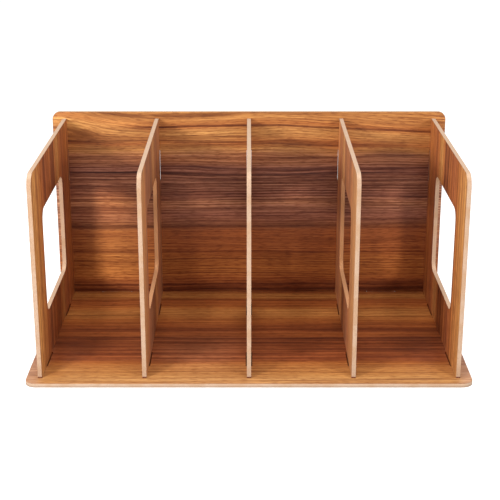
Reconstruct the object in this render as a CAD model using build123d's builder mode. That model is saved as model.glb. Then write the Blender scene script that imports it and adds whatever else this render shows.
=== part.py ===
from build123d import *
import os

# Desk organizer with upright bays, slotted together from flat boards of one thickness.
# Lengths are in millimetres. X runs along the row of bays, Y from the open front to the back,
# and Z is up. The origin is the middle of the footprint, on the surface that it stands on.

# Every board
board = 4.0
arris_radius = 0.3

# Base, which is also as wide as the back panel
base_width = 400.0
base_depth = 231.5
base_corner_radius = 10.0

# Uprights: the two sides and the dividers between them, all alike
bays = 4
upright_height = 188.0
upright_corner_radius = 12.0
foot_radius = 1.2
front_margin = 11.8
end_margin = 10.4

# Window in each upright, by the width of board left around it
window_front_rail = 48.7
window_rear_rail = 47.9
window_bottom_rail = 44.1
window_top_rail = 45.7
window_corner_radius = 10.5

# Back panel
panel_rise = 7.0
panel_corner_radius = 8.0

# Tabs on the uprights and the slots that they enter
tab_length = 31.0
front_tab_inset = 26.7
rear_tab_inset = 36.7
rear_tab_height = 139.0
tab_recess = 0.3
base_slot_clearance = 1.0
panel_slot_clearance = 0.4
slot_end_clearance = 0.5

# Tongues on the rear edge of the base and the notches over them
tongue_width = 30.0
notch_clearance = 0.3

# How far a cutting shape runs past the face that it cuts
overrun = 1.0

# Places worked out from the sizes above
base_front = -(base_depth + board) / 2
panel_front = base_front + base_depth
panel_rear = panel_front + board
upright_front = base_front + front_margin
upright_depth = base_depth - front_margin
upright_top = board + upright_height
panel_height = upright_top + panel_rise
first_centre = -base_width / 2 + end_margin + board / 2
pitch = (base_width - 2 * end_margin - board) / bays
upright_centres = [first_centre + number * pitch for number in range(bays + 1)]
tongue_centres = [first_centre + pitch / 2, -first_centre - pitch / 2]

# Middles of the two bottom tabs along Y, and of the rear tab along Z
front_tab_centre = upright_front + front_tab_inset + tab_length / 2
rear_tab_centre = panel_front - rear_tab_inset - tab_length / 2
back_tab_centre = board + rear_tab_height

# Every slot is its tab and the clearance all round. The slots of the base are the wider ones.
base_slot_width = board + 2 * base_slot_clearance
panel_slot_width = board + 2 * panel_slot_clearance
slot_length = tab_length + 2 * slot_end_clearance
tab_reach = board - tab_recess

os.makedirs("parts", exist_ok=True)


def finish(piece, name):
    piece.part.label = name
    export_step(piece.part, f"parts/{name}.step")


# Base: a flat board with two rounded corners at the front, a pair of slots under each upright
# and two tongues that reach back through the panel.
with BuildPart() as base:
    with BuildSketch():
        with Locations((0, base_front)):
            Rectangle(base_width, base_depth, align=(Align.CENTER, Align.MIN))
        with Locations(*[(x, panel_front) for x in tongue_centres]):
            Rectangle(tongue_width, tab_reach, align=(Align.CENTER, Align.MIN))
        with Locations(*[(x, y) for x in upright_centres for y in (front_tab_centre, rear_tab_centre)]):
            Rectangle(base_slot_width, slot_length, mode=Mode.SUBTRACT)
    extrude(amount=board)
    front_corners = base.edges().filter_by(Axis.Z).group_by(Axis.Y)[0]
    fillet(front_corners, base_corner_radius)
    outline = base.faces().sort_by(Axis.Z)
    fillet(outline[0].outer_wire().edges() + outline[-1].outer_wire().edges(), arris_radius)
finish(base, "base")

# Back panel: a flat board that stands behind the base, with two rounded corners at the top,
# a slot behind each upright and a notch over each tongue of the base.
with BuildPart() as back_panel:
    with BuildSketch(Plane.XZ.offset(-panel_rear)):
        Rectangle(base_width, panel_height, align=(Align.CENTER, Align.MIN))
        with Locations(*[(x, back_tab_centre) for x in upright_centres]):
            Rectangle(panel_slot_width, slot_length, mode=Mode.SUBTRACT)
        with Locations(*[(x, -overrun) for x in tongue_centres]):
            Rectangle(
                tongue_width + 2 * slot_end_clearance,
                overrun + board + notch_clearance,
                align=(Align.CENTER, Align.MIN),
                mode=Mode.SUBTRACT,
            )
    extrude(amount=board)
    top_corners = back_panel.edges().filter_by(Axis.Y).group_by(Axis.Z)[-1]
    fillet(top_corners, panel_corner_radius)
    outline = back_panel.faces().sort_by(Axis.Y)
    fillet(outline[0].outer_wire().edges() + outline[-1].outer_wire().edges(), arris_radius)
finish(back_panel, "back_panel")

# Uprights: each stands on the base and against the back panel, and has a window, two tabs
# that drop through the base and one that reaches back through the panel.
for number, centre in enumerate(upright_centres):
    with BuildPart() as upright:
        with BuildSketch(Plane.YZ.offset(centre - board / 2)) as profile:
            with Locations((upright_front, board)):
                Rectangle(upright_depth, upright_height, align=(Align.MIN, Align.MIN))
            front_foot, front_top = profile.vertices().group_by(Axis.X)[0].sort_by(Axis.Y)
            fillet(front_top, upright_corner_radius)
            fillet(front_foot, foot_radius)
            with Locations((front_tab_centre, board), (rear_tab_centre, board)):
                Rectangle(tab_length, tab_reach, align=(Align.CENTER, Align.MAX))
            with Locations((panel_front, back_tab_centre)):
                Rectangle(tab_reach, tab_length, align=(Align.MIN, Align.CENTER))
            with Locations((upright_front + window_front_rail, board + window_bottom_rail)):
                RectangleRounded(
                    upright_depth - window_front_rail - window_rear_rail,
                    upright_height - window_bottom_rail - window_top_rail,
                    window_corner_radius,
                    align=(Align.MIN, Align.MIN),
                    mode=Mode.SUBTRACT,
                )
        extrude(amount=board)
        sides = upright.faces().sort_by(Axis.X)
        fillet(sides[0].edges() + sides[-1].edges(), arris_radius)
    name = f"divider_{number}"
    if number == 0:
        name = "left_side"
    if number == bays:
        name = "right_side"
    finish(upright, name)
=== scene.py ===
from math import pi, radians

import bpy
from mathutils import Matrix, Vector


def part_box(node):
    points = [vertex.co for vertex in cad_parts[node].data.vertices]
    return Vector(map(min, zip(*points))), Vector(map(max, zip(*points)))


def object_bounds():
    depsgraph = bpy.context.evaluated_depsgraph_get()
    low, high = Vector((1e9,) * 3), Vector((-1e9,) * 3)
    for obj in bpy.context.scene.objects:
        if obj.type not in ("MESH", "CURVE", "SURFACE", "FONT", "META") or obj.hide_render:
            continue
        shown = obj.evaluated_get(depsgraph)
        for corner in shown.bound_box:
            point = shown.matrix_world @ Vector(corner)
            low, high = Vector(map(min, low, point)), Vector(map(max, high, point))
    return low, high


# Looks of the four-bay organizer: a printed wood film on both faces of every board, and raw
# pressed fibre on the cut edges. Every length of a pattern is in millimetres, because that is
# the scale that a grain is judged at. Places in the scene are in metres.
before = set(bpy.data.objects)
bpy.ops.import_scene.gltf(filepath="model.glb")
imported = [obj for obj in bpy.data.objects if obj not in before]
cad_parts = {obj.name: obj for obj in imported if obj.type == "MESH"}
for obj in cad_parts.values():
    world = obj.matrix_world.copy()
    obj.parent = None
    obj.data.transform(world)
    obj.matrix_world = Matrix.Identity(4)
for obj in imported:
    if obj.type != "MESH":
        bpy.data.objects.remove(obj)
cad_low, cad_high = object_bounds()

MM_PER_METRE = 1000.0

# Colours of the print and of the raw board, and of the painted light and shade put on them, in sRGB from
# 0 to 255
PALETTE = {
    "honey": (184, 132, 73),
    "tan": (177, 121, 65),
    "amber": (170, 110, 56),
    "copper": (164, 96, 45),
    "russet": (150, 82, 39),
    "chestnut": (139, 73, 37),
    "cocoa": (126, 65, 33),
    "bark": (116, 58, 26),
    "rose": (166, 109, 74),
    "mauve": (152, 97, 70),
    "plum": (143, 87, 64),
    "umber": (131, 76, 44),
    "sheen_haze": (188, 144, 112),
    "raw": (176, 149, 126),
    "raw_warm": (170, 138, 110),
    "raw_fleck": (140, 110, 86),
    "raw_top_light": (206, 178, 152),
    "painted_bounce": (186, 128, 80),
    "contact_shadow": (92, 40, 18),
    "raw_shade": (104, 92, 80),
    "slot_shade": (108, 40, 12),
    "under_shade": (96, 38, 12),
    "film_line": (112, 68, 44),
}

# How strongly red, green and blue follow when the print gets lighter or darker, so that the dark
# parts of it turn red
DARK_TURNS_RED = (0.9, 1.2, 1.35)

# Bands of the print across each kind of board: millimetres from the board's lower or front edge,
# colour, and how strongly the fine streaks show there from 0 to 1
PANEL_BANDS = [
    (0, "amber", 0.5),
    (4, "bark", 0.5),
    (11, "cocoa", 0.5),
    (18, "russet", 0.5),
    (26, "copper", 0.5),
    (34, "copper", 0.5),
    (42, "copper", 0.6),
    (50, "russet", 0.6),
    (58, "russet", 0.5),
    (66, "russet", 0.4),
    (73, "russet", 0.4),
    (79, "umber", 0.5),
    (90, "plum", 0.7),
    (97, "mauve", 0.8),
    (103, "rose", 0.8),
    (110, "plum", 0.9),
    (121, "mauve", 1.0),
    (128, "mauve", 1.0),
    (134, "plum", 0.9),
    (140, "plum", 0.8),
    (146, "rose", 0.7),
    (152, "rose", 0.6),
    (159, "tan", 0.4),
    (165, "copper", 0.5),
    (170, "amber", 0.5),
    (177, "tan", 0.4),
    (184, "copper", 0.4),
    (191, "amber", 0.5),
    (199, "amber", 0.5),
]
BASE_BANDS = [
    (0, "tan", 0.4),
    (10, "honey", 0.3),
    (22, "tan", 0.25),
    (38, "amber", 0.3),
    (46, "copper", 0.4),
    (52, "chestnut", 0.5),
    (66, "chestnut", 0.6),
    (78, "cocoa", 0.7),
    (94, "cocoa", 0.7),
    (106, "cocoa", 0.6),
    (113, "russet", 0.5),
    (123, "chestnut", 0.5),
    (137, "russet", 0.5),
    (150, "copper", 0.4),
    (163, "amber", 0.4),
    (177, "amber", 0.4),
    (187, "copper", 0.4),
    (196, "russet", 0.5),
    (206, "russet", 0.6),
    (214, "amber", 0.5),
    (223, "amber", 0.4),
    (232, "russet", 0.4),
]
UPRIGHT_BANDS = [
    (0, "tan", 0.5),
    (14, "tan", 0.4),
    (24, "amber", 0.4),
    (34, "amber", 0.5),
    (44, "copper", 0.5),
    (54, "russet", 0.6),
    (62, "chestnut", 0.7),
    (74, "chestnut", 0.7),
    (86, "russet", 0.6),
    (98, "russet", 0.5),
    (108, "cocoa", 0.7),
    (122, "cocoa", 0.7),
    (131, "copper", 0.5),
    (140, "tan", 0.4),
    (150, "amber", 0.4),
    (162, "russet", 0.5),
    (175, "chestnut", 0.5),
    (190, "russet", 0.5),
    (206, "copper", 0.4),
    (220, "russet", 0.4),
]

# Single dark lines of the print: how far across the board they lie at its left or lower end, in
# its middle and at its other end, their half width, their depth, which is 1 for a strong line,
# and from where to where along the board they run
PANEL_VEINS = [
    (203, 185, 167, 1.6, 0.8, -148, -98),
    (195, 195.5, 195, 2.2, 1.0, -98, -25),
    (180, 184.3, 178, 1.0, 1.0, -112, 200),
    (176, 173.2, 176, 0.7, 0.5, -95, 0),
    (170, 167, 162, 1.2, 0.5, -200, 140),
    (152, 150.8, 154.6, 1.0, 0.55, -200, 200),
    (143, 139.4, 139.6, 0.8, 0.8, -130, 200),
    (135, 133, 136.5, 0.9, 1.1, -200, 145),
    (126.5, 126, 127, 0.6, 0.35, -200, 200),
    (119, 119.6, 120, 0.6, 0.35, -200, 200),
    (79, 78, 76, 1.2, 0.5, -200, 200),
    (50, 49, 50, 0.9, 0.4, -200, 200),
    (12.5, 12, 12.5, 0.8, 0.5, -200, 200),
    (7, 7, 7.5, 1.0, 0.7, -200, 200),
]
BASE_VEINS = [
    (208, 207.5, 204, 1.8, 0.5, -98, 100),
    (193, 189, 193, 1.0, 0.35, -160, 96),
    (161, 170, 172, 1.6, 0.5, -200, -110),
    (126, 125, 127, 2.6, 0.35, -180, 200),
    (108, 103, 105.5, 0.9, 0.9, -200, 200),
    (95, 92.7, 91, 0.9, 0.7, -100, 200),
    (67, 66, 64, 0.9, 0.5, -200, 40),
    (25.5, 25.2, 22.8, 0.8, 0.6, -100, 180),
    (3, 5, 14, 0.8, 0.4, -100, 200),
]
UPRIGHT_VEINS = [
    (27, 28, 26, 0.9, 0.35, -100, 100),
    (48, 51, 47, 1.1, 0.4, -100, 100),
    (67, 70, 64, 1.8, 0.4, -100, 100),
    (104, 108, 103, 2.0, 0.45, -100, 100),
    (121, 119, 121, 2.2, 0.45, -100, 100),
    (160, 163, 158, 1.2, 0.3, -100, 100),
    (178, 180, 175, 1.5, 0.35, -100, 100),
]

# How far a dark line takes to fade in and out along the grain, and the distances from its middle,
# in half widths, at which it ends and is full
VEIN_FADE = 25.0
VEIN_END = 1.8
VEIN_FULL = 0.2

# Places where the grain bows out of line: along, across, reach along, reach across, and how far
# it bows
PANEL_SWELLS = [
    (-200, 195, 60, 24, 14),
    (40, 178, 62, 22, 4),
    (215, 186, 80, 18, -7),
    (165, 68, 30, 9, 5),
]
BASE_SWELLS = [
    (20, 104, 60, 12, -2),
    (150, 195, 40, 20, 4),
    (-150, 180, 40, 22, -4),
]
UPRIGHT_SWELLS = [
    (20, 90, 60, 26, 6),
]

# Patches that are lighter or darker than their band: along, across, reach along, reach across,
# and by how much, as a natural logarithm
PANEL_PATCHES = [
    (-150, 16, 70, 9, 0.3),
    (-140, 48, 36, 34, 0.28),
    (-140, 86, 36, 9, 0.25),
    (-150, 106, 40, 16, 0.24),
    (-150, 128, 40, 10, 0.12),
    (-185, 192, 30, 8, 0.25),
    (-130, 187, 26, 6, 0.2),
    # A painted shadow of the left side on the panel's upper left
    (-178, 172, 24, 8, -0.4),
    (-100, 155, 80, 5, 0.3),
    (-40, 148, 140, 4, 0.1),
    (-100, 187, 80, 4, 0.15),
    (-45, 18, 40, 5, 0.2),
    (-45, 82, 40, 5, -0.25),
    (-45, 117, 40, 6, 0.25),
    (-45, 149, 40, 7, 0.2),
    (-45, 175, 40, 8, 0.2),
    (0, 152, 95, 6, 0.07),
    (0, 130, 90, 5, 0.22),
    (45, 148, 40, 6, 0.1),
    (45, 3, 40, 4, 0.15),
    (150, 13, 40, 6, -0.25),
    (150, 76, 40, 8, -0.15),
    (150, 122, 40, 5, 0.25),
    (150, 155, 35, 4, -0.35),
    (150, 168, 40, 7, 0.15),
]
BASE_PATCHES = [
    (0, 5, 200, 4, 0.12),
    (60, 103, 120, 4, 0.2),
    (0, 206, 200, 4, 0.1),
    (-150, 95, 40, 12, -0.15),
    (-150, 152, 40, 10, -0.1),
    (-150, 190, 40, 18, 0.15),
    (-150, 72, 40, 12, 0.15),
    (-150, 8, 40, 7, -0.12),
    (0, 60, 90, 7, 0.2),
    (45, 20, 40, 7, -0.12),
    (-90, 20, 90, 6, -0.07),
    (150, 44, 40, 7, -0.1),
    (150, 207, 40, 7, 0.22),
    # At the outer margins, a darkening that tunes the painted light of the haze there
    (-198, 20, 9, 70, -0.13),
    (198, 20, 9, 70, -0.08),
]
LEFT_PATCHES = [
    (70, 185, 40, 30, 0.2),
    (-70, 60, 40, 22, -0.32),
    (-70, 112, 40, 14, 0.25),
    (-70, 155, 40, 24, -0.25),
    (0, 216, 200, 10, 0.2),
]
DIVIDER_1_PATCHES = [
    (-75, 55, 45, 11, 0.4),
    (-75, 92, 45, 20, -0.5),
    (-75, 156, 45, 26, 0.62),
    (-75, 202, 45, 16, -0.4),
    (70, 224, 45, 18, 0.4),
    (70, 100, 45, 20, -0.15),
]
DIVIDER_3_PATCHES = [
    (70, 66, 45, 24, 0.32),
    (70, 200, 45, 30, 0.42),
    (0, 140, 200, 30, 0.15),
    (0, 20, 200, 30, -0.1),
]
RIGHT_PATCHES = [
    (70, 130, 45, 110, 0.32),
    (-70, 190, 45, 34, -0.15),
    (0, 143, 200, 9, -0.24),
    (-70, 78, 45, 16, -0.26),
    (70, 214, 45, 20, 0.2),
    (0, 0, 200, 18, -0.25),
]

# Patches of another colour: the colour, the same four places and reaches, and its share
PANEL_STAINS = [
    ("copper", -140, 102, 42, 20, 0.6),
    ("amber", -140, 54, 40, 26, 0.4),
    ("honey", 0, 177, 110, 7, 0.3),
    ("honey", 0, 197, 260, 8, 0.35),
    ("honey", -140, 188, 45, 10, 0.25),
    ("copper", -70, 150, 130, 6, 0.4),
    # The haze at the outer margins is painted light, where the panel outside the bays catches the full
    # side light
    ("sheen_haze", -197, 97, 7, 50, 0.6),
    ("sheen_haze", 197, 97, 7, 50, 0.6),
]
BASE_STAINS = [
    # The haze here is painted sheen, strongest at the outer margins, which catch the full side light
    ("sheen_haze", -45, 55, 42, 60, 0.12),
    ("sheen_haze", -198, 20, 9, 70, 0.8),
    ("sheen_haze", 198, 20, 9, 70, 0.8),
    ("sheen_haze", 0, 6, 300, 9, 0.16),
]

# The look of each kind of board. Grain and stretch are how coarse and how long its streaks are,
# and contrast is how strong they are. Rings are the regular dark lines of the grain, with their
# strength and the distance from one to the next. The tone swings slowly between lighter and darker,
# and the haze is a painted sheen, a pale wash that stands in for the glancing reflection on the
# board. The lift makes the print lighter and the edge the raw fibre, both as a natural logarithm.
# Reveal is how much painted bounce light, warm from the print that faces it, the raw fibre around
# the window gets.
PANEL_LOOK = {
    "bands": PANEL_BANDS,
    "veins": PANEL_VEINS,
    "swells": PANEL_SWELLS,
    "patches": PANEL_PATCHES,
    "stains": PANEL_STAINS,
    "grain": 1.0,
    "stretch": 1.0,
    "contrast": 1.0,
    "ring_pitch": 2.85,
    "rings": 0.7,
    "tone": 0.4,
    "sheen_haze": 0.0,
    "lift": 0.03,
    "edge": 0.0,
    "reveal": 0.0,
}
BASE_LOOK = {
    "bands": BASE_BANDS,
    "veins": BASE_VEINS,
    "swells": BASE_SWELLS,
    "patches": BASE_PATCHES,
    "stains": BASE_STAINS,
    "grain": 1.2,
    "stretch": 1.0,
    "contrast": 1.0,
    "ring_pitch": 7.5,
    "rings": 0.45,
    "tone": 0.4,
    "sheen_haze": 0.0,
    "lift": 0.0,
    "edge": 0.0,
    "reveal": 0.0,
}
END_LOOK = {
    "bands": UPRIGHT_BANDS,
    "veins": UPRIGHT_VEINS,
    "swells": UPRIGHT_SWELLS,
    "patches": LEFT_PATCHES,
    "stains": [],
    "grain": 2.4,
    "stretch": 3.0,
    "contrast": 1.35,
    "ring_pitch": 11.0,
    "rings": 0.45,
    "tone": 1.0,
    "sheen_haze": 0.06,
    "lift": 0.17,
    "edge": -0.1,
    "reveal": 0.1,
}
DIVIDER_LOOK = {**END_LOOK, "patches": DIVIDER_1_PATCHES, "sheen_haze": 0.26, "lift": 0.15, "reveal": 0.8}

# Each upright: its look, how far its print is shifted towards the back in millimetres, and the
# seed of its grain
UPRIGHTS = {
    "left_side": (END_LOOK, 0.0, 11.0),
    "divider_1": (DIVIDER_LOOK, -10.0, 12.9),
    "divider_2": (DIVIDER_LOOK, 0.0, 14.8),
    "divider_3": ({**DIVIDER_LOOK, "patches": DIVIDER_3_PATCHES, "lift": 0.3}, 5.0, 16.7),
    "right_side": ({**END_LOOK, "patches": RIGHT_PATCHES, "lift": 0.27}, -2.0, 18.6),
}

# Walls of the slots and notches, which get painted shade: below the first two heights on an upright
# and on the back panel, further in than the third length from the sides of a board, and further in
# than the fourth from the front edge of the base and from the ends of its tongues
BASE_TOP = 3.9
NOTCH_TOP = 4.8
SLOT_ZONE = 8.0
TONGUE_END = 0.5

# Behind this place, in the slots of the back panel, the tabs of the uprights show raw fibre
PRINT_END = 113.9

# Painted bounce light on the window: the raw edge that gets it lies below this height and further back
# than this, and that light fades in over this distance
REVEAL_TOP = 165.0
REVEAL_FRONT = -60.0
REVEAL_FADE = 10.0

# Painted shade at the foot of a raw edge, where it meets the floor or the base: its heights, colour and
# how dark it is from 0 to 1
FLAT_FOOT_SHADE = {"top": 3.2, "bottom": 0.4, "colour": "raw_shade", "depth": 0.4}
UPRIGHT_FOOT_SHADE = {"top": 5.8, "bottom": 4.6, "colour": "contact_shadow", "depth": 1.0}

# The numbers of the coordinates that run along the grain, across it and through the board
BASE_AXES = (0, 1, 2)
PANEL_AXES = (0, 2, 1)
UPRIGHT_AXES = (2, 1, 0)

# Layers of noise in the print: how long their streaks are along the grain and how far apart across
# it, what is added to the seed of the board, and the detail of the noise
LAYERS = {
    "slow_wander": (190.0, 50.0, 0.0, 2.0),
    "quick_wander": (50.0, 11.0, 3.7, 2.0),
    "feather": (60.0, 5.0, 9.1, 3.0),
    "wobble": (70.0, 6.0, 5.3, 2.0),
    "ring_patches": (70.0, 8.0, 13.3, 2.0),
    "tone": (100.0, 12.0, 23.9, 2.0),
    "broad_streaks": (150.0, 3.6, 19.1, 2.0),
    "streaks": (120.0, 1.5, 17.3, 2.0),
    "vein_breaks": (40.0, 4.0, 31.1, 2.0),
    "hairs": (9.0, 1.0, 41.7, 2.0),
}

# How far a layer moves the grain from side to side, and the phase of the rings, in radians
SLOW_WANDER_REACH = 8.0
QUICK_WANDER_REACH = 1.8
FEATHER_REACH = 9.0
WOBBLE_REACH = 8.0

# Where the noise of a layer turns into lines: the value at which a line starts, the value at which
# it is full, and how much lighter or darker it is there, as a natural logarithm
BROAD_STREAKS = (0.48, 0.66, -0.45)
DARK_STREAKS = (0.5, 0.64, -0.65)
LIGHT_STREAKS = (0.47, 0.36, 0.2)
HAIR_LINES = (0.48, 0.66, -0.45)

# Rings: the values of the wave at which a line starts and is full. Rings and dark lines are uneven:
# the values of their noise at the weak and strong ends, and the share that shows at each end.
RING_LINE = (-0.1, 0.9)
RING_PATCHES = (0.36, 0.56, 0.4, 1.0)
VEIN_BREAKS = (0.35, 0.55, 0.7, 1.0)
VEIN_DARKNESS = -1.15

# Raw fibre: its clouds and flecks per millimetre, and where and how much they and the painted light on a
# face that looks up show
CLOUDS = {"Scale": 0.07, "Detail": 3.0}
FLECKS = {"Scale": 1.1, "Detail": 4.0, "Roughness": 0.7}
CLOUD_SHARE = (0.4, 0.65)
FLECK_SHARE = (0.52, 0.68, 0.0, 0.5)
TOP_LIGHT_SHARE = (0.5, 0.9, 0.0, 0.58)

# How squarely a point faces through its board, from 0 to 1, where the rim of the film and the film
# itself start and are full, and the limit under which a point is on a wall
RIM_TURN = (0.4, 0.75)
FILM_TURN = (0.86, 0.97)
WALL_TURN = 0.5

# Surface: roughness of the film where its streaks are weak and strong, what raw fibre adds to it,
# and the gloss
FILM_ROUGHNESS = (0.4, 0.62, 0.4, 0.52)
RAW_ROUGHNESS = 0.4
GLOSS = 0.22

# Relief: how much each pattern raises the surface, the height in metres and the strength
STREAK_RELIEF = 0.6
HAIR_RELIEF = -0.5
FLECK_RELIEF = 1.2
RELIEF_HEIGHT = 0.00012
RELIEF_STRENGTH = 0.6

# The mix node's sockets for colours: the two that it mixes, and the result
MIX_FIRST = 6
MIX_SECOND = 7
MIX_RESULT = 2

# Rays that show the background: straight from the camera, mirrored or let through
BACKGROUND_RAYS = ("Is Camera Ray", "Is Glossy Ray", "Is Transmission Ray")


def linear(name):
    """One colour of the palette as linear red, green, blue and alpha."""
    shares = [value / 255.0 for value in PALETTE[name]]
    return tuple(s / 12.92 if s <= 0.04045 else ((s + 0.055) / 1.055) ** 2.4 for s in shares) + (1.0,)


class Graph:
    """The nodes of one material. Each method adds nodes and gives back the socket they end in."""

    def __init__(self, name):
        self.material = bpy.data.materials.new(name)
        self.material.use_nodes = True
        self.tree = self.material.node_tree
        self.tree.nodes.clear()

    def add(self, kind, inputs, output=0, **settings):
        node = self.tree.nodes.new(kind)
        for name, value in settings.items():
            setattr(node, name, value)
        for key, value in inputs.items():
            if isinstance(value, bpy.types.NodeSocket):
                self.tree.links.new(value, node.inputs[key])
            else:
                node.inputs[key].default_value = value
        return node.outputs[output] if node.outputs else None

    def math(self, operation, *values):
        return self.add("ShaderNodeMath", dict(enumerate(values)), operation=operation)

    def total(self, *values):
        result = values[0]
        for value in values[1:]:
            result = self.math("ADD", result, value)
        return result

    def times(self, *values):
        result = values[0]
        for value in values[1:]:
            result = self.math("MULTIPLY", result, value)
        return result

    def swing(self, noise, reach):
        """Makes a noise of 0 to 1 swing about 0."""
        return self.times(self.math("SUBTRACT", noise, 0.5), reach)

    def smooth(self, value, low, high, at_low=0.0, at_high=1.0):
        """Goes smoothly from at_low to at_high while value goes from low to high."""
        inputs = {"Value": value, "From Min": low, "From Max": high, "To Min": at_low, "To Max": at_high}
        return self.add("ShaderNodeMapRange", inputs, interpolation_type="SMOOTHSTEP")

    def mix(self, factor, first, second, blend="MIX"):
        inputs = {"Factor": factor, MIX_FIRST: first, MIX_SECOND: second}
        settings = {"data_type": "RGBA", "blend_type": blend}
        return self.add("ShaderNodeMix", inputs, output=MIX_RESULT, **settings)

    def split(self, vector):
        node = self.tree.nodes.new("ShaderNodeSeparateXYZ")
        self.tree.links.new(vector, node.inputs[0])
        return list(node.outputs)

    def noise(self, layer, along, across, seed, stretch=1.0, grain=1.0):
        """The noise of one layer, from 0 to 1 about 0.5."""
        run, pitch, own_seed, detail = LAYERS[layer]
        place = self.add(
            "ShaderNodeCombineXYZ",
            {
                0: self.math("DIVIDE", along, run * stretch),
                1: self.math("DIVIDE", across, pitch * grain),
                2: seed + own_seed,
            },
        )
        return self.add("ShaderNodeTexNoise", {"Vector": place, "Scale": 1.0, "Detail": detail})

    def lines(self, noise, start, full, lightness):
        """Lines in a noise, as how much lighter or darker they make the print."""
        return self.smooth(noise, start, full, 0.0, lightness)

    def ramp(self, value, low, high, stops):
        """A colour ramp over value from low to high. Stops are place, colour and strength."""
        share = self.math("DIVIDE", self.math("SUBTRACT", value, low), high - low)
        node = self.tree.nodes.new("ShaderNodeValToRGB")
        self.tree.links.new(share, node.inputs[0])
        elements = node.color_ramp.elements
        while len(elements) < len(stops):
            elements.new(1.0)
        for element, (place, colour, strength) in zip(elements, stops):
            element.position = (place - low) / (high - low)
            element.color = linear(colour)[:3] + (strength,)
        return node.outputs["Color"], node.outputs["Alpha"]


def wander(graph, along, across, seed):
    """How far the grain strays from straight, in millimetres."""
    slow = graph.noise("slow_wander", along, across, seed)
    quick = graph.noise("quick_wander", along, across, seed)
    return graph.total(graph.swing(slow, SLOW_WANDER_REACH), graph.swing(quick, QUICK_WANDER_REACH))


def bell(graph, along, across, centre_along, centre_across, reach_along, reach_across, height):
    """A bump that fades out around its centre. It bows the grain or brightens a patch."""
    shift_along = graph.math("DIVIDE", graph.math("SUBTRACT", along, centre_along), reach_along)
    shift_across = graph.math("DIVIDE", graph.math("SUBTRACT", across, centre_across), reach_across)
    square = graph.total(graph.times(shift_along, shift_along), graph.times(shift_across, shift_across))
    return graph.times(graph.math("EXPONENT", graph.times(square, -1.0)), height)


def vein(graph, along, across, half_length, left, middle, right, half_width, depth, start, end):
    """How much one dark line shows at a point, from 0 to its depth."""
    share = graph.math("DIVIDE", along, half_length)
    slope = graph.times(share, (right - left) / 2)
    bow = graph.times(share, share, (left + right) / 2 - middle)
    distance = graph.math("ABSOLUTE", graph.math("SUBTRACT", across, graph.total(slope, bow, middle)))
    body = graph.smooth(distance, half_width * VEIN_END, half_width * VEIN_FULL)
    entering = graph.smooth(along, start - VEIN_FADE, start + VEIN_FADE)
    leaving = graph.smooth(along, end + VEIN_FADE, end - VEIN_FADE)
    return graph.times(body, entering, leaving, depth)


def tinted(graph, colour, lightness):
    """The colour made lighter or darker. Lightness is a natural logarithm, and dark turns red."""
    red, green, blue = [graph.math("EXPONENT", graph.times(lightness, gain)) for gain in DARK_TURNS_RED]
    tint = graph.add("ShaderNodeCombineColor", {0: red, 1: green, 2: blue})
    return graph.mix(1.0, colour, tint, blend="MULTIPLY")


def printed_wood(graph, along, across, width, half_length, look, seed):
    """The wood print on a board's faces: its colour, and the streaks and hairs that raise it."""
    strayed = graph.total(across, wander(graph, along, across, seed))
    bow = graph.total(*[bell(graph, along, across, *values) for values in look["swells"]])
    flowed = graph.math("SUBTRACT", strayed, bow)
    grain = look["grain"]
    stretch = look["stretch"]
    feather = graph.noise("feather", along, flowed, seed, stretch)
    feathered = graph.total(flowed, graph.swing(feather, FEATHER_REACH))
    colour, strength = graph.ramp(feathered, 0.0, width, look["bands"])
    for stain, *place in look["stains"]:
        colour = graph.mix(bell(graph, along, across, *place), colour, linear(stain))

    tone = graph.noise("tone", along, flowed, seed, stretch)
    broad = graph.noise("broad_streaks", along, flowed, seed, stretch, grain)
    broad_streaks = graph.times(graph.lines(broad, *BROAD_STREAKS), strength)
    streaks = graph.noise("streaks", along, flowed, seed, stretch, grain)
    dark_streaks = graph.times(graph.lines(streaks, *DARK_STREAKS), strength)
    light_streaks = graph.lines(streaks, *LIGHT_STREAKS)
    hairs = graph.noise("hairs", along, flowed, seed)
    hair_lines = graph.lines(hairs, *HAIR_LINES)

    wobble = graph.noise("wobble", along, flowed, seed, stretch)
    turns = graph.times(flowed, 2 * pi / look["ring_pitch"])
    phase = graph.total(turns, graph.swing(wobble, WOBBLE_REACH))
    ring_patches = graph.noise("ring_patches", along, flowed, seed)
    rings = graph.times(
        graph.smooth(graph.math("SINE", phase), *RING_LINE),
        graph.smooth(ring_patches, *RING_PATCHES),
        strength,
        -look["rings"],
    )

    veins = 0.0
    for values in look["veins"]:
        veins = graph.math("MAXIMUM", vein(graph, along, strayed, half_length, *values), veins)
    vein_breaks = graph.noise("vein_breaks", along, flowed, seed)
    veins = graph.times(veins, graph.smooth(vein_breaks, *VEIN_BREAKS), VEIN_DARKNESS)

    patches = graph.total(*[bell(graph, along, across, *values) for values in look["patches"]])
    slow = graph.total(graph.swing(tone, look["tone"]), broad_streaks, patches, look["lift"])
    fine = graph.times(graph.total(dark_streaks, light_streaks, rings, hair_lines), look["contrast"])
    colour = tinted(graph, colour, graph.total(slow, fine, veins))
    # Painted sheen: a pale wash over the print, strongest on the dividers
    if look["sheen_haze"]:
        colour = graph.mix(look["sheen_haze"], colour, linear("sheen_haze"))
    return colour, streaks, hairs


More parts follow.
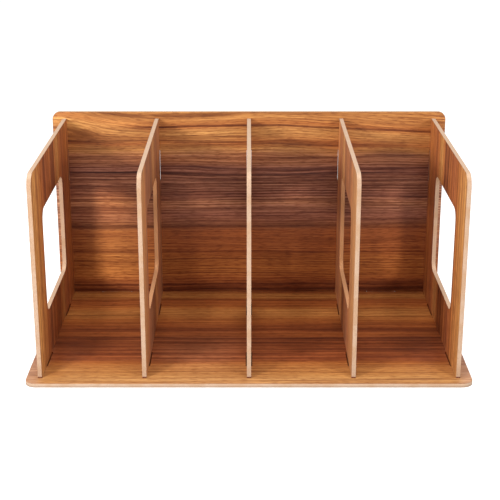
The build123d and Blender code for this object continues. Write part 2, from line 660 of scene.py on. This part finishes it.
def raw_board(graph, place, point, up, foot, look):
    """Pressed wood fibre on a cut edge, with painted light where it faces up, painted bounce light
    around the window and painted shade down at its foot.
    """
    clouds = graph.add("ShaderNodeTexNoise", {"Vector": place, **CLOUDS})
    flecks = graph.add("ShaderNodeTexNoise", {"Vector": place, **FLECKS})
    colour = graph.mix(graph.smooth(clouds, *CLOUD_SHARE), linear("raw"), linear("raw_warm"))
    # Painted light: raw fibre that faces up is paler, as if lit from above
    colour = graph.mix(graph.smooth(up, *TOP_LIGHT_SHARE), colour, linear("raw_top_light"))
    # Painted bounce light: the window's raw edge takes the warm colour of the print facing it
    if look["reveal"]:
        lower = graph.smooth(point[2], REVEAL_TOP, REVEAL_TOP - REVEAL_FADE)
        deeper = graph.smooth(point[1], REVEAL_FRONT, REVEAL_FRONT + REVEAL_FADE)
        colour = graph.mix(graph.times(lower, deeper, look["reveal"]), colour, linear("painted_bounce"))
    colour = graph.mix(graph.smooth(flecks, *FLECK_SHARE), colour, linear("raw_fleck"))
    colour = tinted(graph, colour, look["edge"])
    # Painted shade: the raw edge darkens towards its foot, a painted contact shadow under the uprights
    painted_foot_shade = graph.smooth(point[2], foot["top"], foot["bottom"], 0.0, foot["depth"])
    return graph.mix(painted_foot_shade, colour, linear(foot["colour"])), flecks


def slot_shade_mask(graph, point, facing, node):
    """1 on the walls of the narrow gaps around the tabs and tongues, where little light gets, so they
    get painted shade.
    """
    low, high = [corner * MM_PER_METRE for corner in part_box(node)]
    beside = graph.math("LESS_THAN", graph.math("ABSOLUTE", point[0]), high.x - SLOT_ZONE)
    if node == "back_panel":
        wall = graph.math("LESS_THAN", graph.math("ABSOLUTE", facing[1]), WALL_TURN)
        return graph.times(beside, wall, graph.math("LESS_THAN", point[2], NOTCH_TOP))
    if node != "base":
        return graph.math("LESS_THAN", point[2], BASE_TOP)
    deep = graph.math("LESS_THAN", graph.math("ABSOLUTE", point[1]), high.y - TONGUE_END)
    wall = graph.math("LESS_THAN", graph.math("ABSOLUTE", facing[2]), WALL_TURN)
    return graph.times(beside, deep, wall)


def board_material(node, axes, look, foot, shift, seed):
    """Printed film on the two faces of a board and raw fibre on its edges."""
    along_axis, across_axis, through_axis = axes
    low, high = [corner * MM_PER_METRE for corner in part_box(node)]
    half_length = (high[along_axis] - low[along_axis]) / 2
    middle = (high[along_axis] + low[along_axis]) / 2
    width = high[across_axis] - low[across_axis]
    graph = Graph(f"{node}_print")
    coordinates = graph.tree.nodes.new("ShaderNodeTexCoord")
    place = graph.add(
        "ShaderNodeVectorMath",
        {0: coordinates.outputs["Object"], "Scale": MM_PER_METRE},
        operation="SCALE",
    )
    point = graph.split(place)
    facing = graph.split(coordinates.outputs["Normal"])
    along = graph.math("SUBTRACT", point[along_axis], middle)
    across = graph.math("SUBTRACT", point[across_axis], low[across_axis] + shift)
    through = graph.math("ABSOLUTE", facing[through_axis])
    if node in UPRIGHTS:
        through = graph.times(through, graph.math("LESS_THAN", point[1], PRINT_END))

    wood, streaks, hairs = printed_wood(graph, along, across, width, half_length, look, seed)
    raw, flecks = raw_board(graph, place, point, facing[2], foot, look)
    face = graph.smooth(through, *FILM_TURN)
    rim = graph.smooth(through, *RIM_TURN)
    colour = graph.mix(rim, raw, linear("film_line"))
    colour = graph.mix(face, colour, wood)
    # Painted shade on the walls of the slots and notches
    colour = graph.mix(slot_shade_mask(graph, point, facing, node), colour, linear("slot_shade"))

    film_roughness = graph.smooth(streaks, *FILM_ROUGHNESS)
    roughness = graph.total(film_roughness, graph.smooth(face, 1.0, 0.0, 0.0, RAW_ROUGHNESS))
    relief = graph.total(
        graph.times(streaks, face, STREAK_RELIEF),
        graph.times(hairs, face, HAIR_RELIEF),
        graph.times(flecks, graph.math("SUBTRACT", 1.0, face), FLECK_RELIEF),
    )
    bump = graph.add(
        "ShaderNodeBump",
        {"Height": relief, "Distance": RELIEF_HEIGHT, "Strength": RELIEF_STRENGTH},
    )
    shader = graph.add(
        "ShaderNodeBsdfPrincipled",
        {
            "Base Color": colour,
            "Roughness": roughness,
            "Normal": bump,
            "Specular IOR Level": GLOSS,
        },
    )
    graph.add("ShaderNodeOutputMaterial", {"Surface": shader})
    return graph.material


def dress(node, axes, look, foot, shift, seed):
    """Gives a CAD node its own board material."""
    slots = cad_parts[node].data.materials
    slots.clear()
    slots.append(board_material(node, axes, look, foot, shift, seed))


dress("base", BASE_AXES, BASE_LOOK, FLAT_FOOT_SHADE, shift=0.0, seed=2.3)
dress("back_panel", PANEL_AXES, PANEL_LOOK, FLAT_FOOT_SHADE, shift=0.0, seed=5.1)
for node, (look, shift, seed) in UPRIGHTS.items():
    dress(node, UPRIGHT_AXES, look, UPRIGHT_FOOT_SHADE, shift, seed)


# Floor: it is white to the camera and keeps the soft shadow of the organizer. Under the organizer,
# whose base has round corners, it is painted dark as painted shade, so that the slots look dark.
FLOOR_SIZE = 14.0
FLOOR_GREY = 0.8
FLOOR_LIFT = 0.45
FOOTPRINT_CORNER = 0.010
FOOTPRINT_EDGE = 0.0015


def shows_background(tree):
    """1 for a ray that shows the background, otherwise 0."""
    path = tree.nodes.new("ShaderNodeLightPath")
    result = path.outputs[BACKGROUND_RAYS[0]]
    for name in BACKGROUND_RAYS[1:]:
        larger = tree.nodes.new("ShaderNodeMath")
        larger.operation = "MAXIMUM"
        tree.links.new(result, larger.inputs[0])
        tree.links.new(path.outputs[name], larger.inputs[1])
        result = larger.outputs[0]
    return result


def make_floor():
    bpy.ops.mesh.primitive_plane_add(size=FLOOR_SIZE, location=(0, 0, 0))
    floor = bpy.context.object
    floor.name = "floor"
    graph = Graph("floor_white")
    seen = shows_background(graph.tree)
    place = graph.add("ShaderNodeTexCoord", {}, output="Object")
    across, deep, _ = [graph.math("ABSOLUTE", part) for part in graph.split(place)]
    beside = graph.math("MAXIMUM", graph.math("SUBTRACT", across, cad_high.x - FOOTPRINT_CORNER), 0.0)
    before = graph.math("MAXIMUM", graph.math("SUBTRACT", deep, cad_high.y - FOOTPRINT_CORNER), 0.0)
    reach = graph.math("SQRT", graph.total(graph.times(beside, beside), graph.times(before, before)))
    clear = graph.smooth(reach, FOOTPRINT_CORNER - FOOTPRINT_EDGE, FOOTPRINT_CORNER)
    # Painted shade: the floor under the organizer is dark
    colour = graph.mix(clear, linear("under_shade"), (FLOOR_GREY, FLOOR_GREY, FLOOR_GREY, 1.0))
    matt = graph.add("ShaderNodeBsdfDiffuse", {"Color": colour})
    glow = graph.add("ShaderNodeEmission", {"Strength": graph.times(seen, clear, FLOOR_LIFT)})
    surface = graph.add("ShaderNodeAddShader", {0: matt, 1: glow})
    graph.add("ShaderNodeOutputMaterial", {"Surface": surface})
    floor.data.materials.append(graph.material)


# World: an even white room, and pure white where the camera sees it
ROOM_LIGHT = 0.75


def make_world():
    world = bpy.data.worlds.new("room")
    world.use_nodes = True
    bpy.context.scene.world = world
    tree = world.node_tree
    seen = shows_background(tree)
    strength = tree.nodes.new("ShaderNodeMapRange")
    strength.inputs["To Min"].default_value = ROOM_LIGHT
    strength.inputs["To Max"].default_value = 1.0
    tree.links.new(seen, strength.inputs["Value"])
    background = tree.nodes["Background"]
    background.inputs["Color"].default_value = (1.0, 1.0, 1.0, 1.0)
    tree.links.new(strength.outputs[0], background.inputs["Strength"])


# Soft boxes: two stand in front of the organizer, with the stronger one on the left, and a wide
# one hangs over it
LAMP_AIM = Vector((0.0, 0.0, 0.08))
LEFT_LAMP = {"place": (-0.708, -0.834, 0.517), "size": 0.23, "power": 11.5}
RIGHT_LAMP = {"place": (0.66, -0.79, 0.46), "size": 0.16, "power": 5.0}
TOP_LAMP = {"place": (0.0, -0.1, 1.3), "size": 1.0, "power": 8.0}


def make_lamp(name, place, size, power):
    lamp = bpy.data.lights.new(name, "AREA")
    lamp.shape = "SQUARE"
    lamp.size = size
    lamp.energy = power
    stand = bpy.data.objects.new(name, lamp)
    stand.location = place
    stand.rotation_euler = (Vector(place) - LAMP_AIM).to_track_quat("Z", "Y").to_euler()
    bpy.context.scene.collection.objects.link(stand)


# Camera: in front of the middle, a little above, looking down
CAMERA_PLACE = (0.0, -1.1115, 0.4669)
CAMERA_PITCH_DOWN = 18.76
CAMERA_LENS = 88.36
CAMERA_SENSOR = 36.0
CAMERA_SHIFT = 0.002


def make_camera():
    camera = bpy.data.cameras.new("camera")
    camera.lens = CAMERA_LENS
    camera.sensor_width = CAMERA_SENSOR
    camera.shift_x = CAMERA_SHIFT
    stand = bpy.data.objects.new("camera", camera)
    stand.location = CAMERA_PLACE
    stand.rotation_euler = (radians(90.0 - CAMERA_PITCH_DOWN), 0.0, 0.0)
    bpy.context.scene.collection.objects.link(stand)
    bpy.context.scene.camera = stand


make_floor()
make_world()
make_lamp("left_lamp", **LEFT_LAMP)
make_lamp("right_lamp", **RIGHT_LAMP)
make_lamp("top_lamp", **TOP_LAMP)
make_camera()
bpy.context.scene.view_settings.view_transform = "Standard"
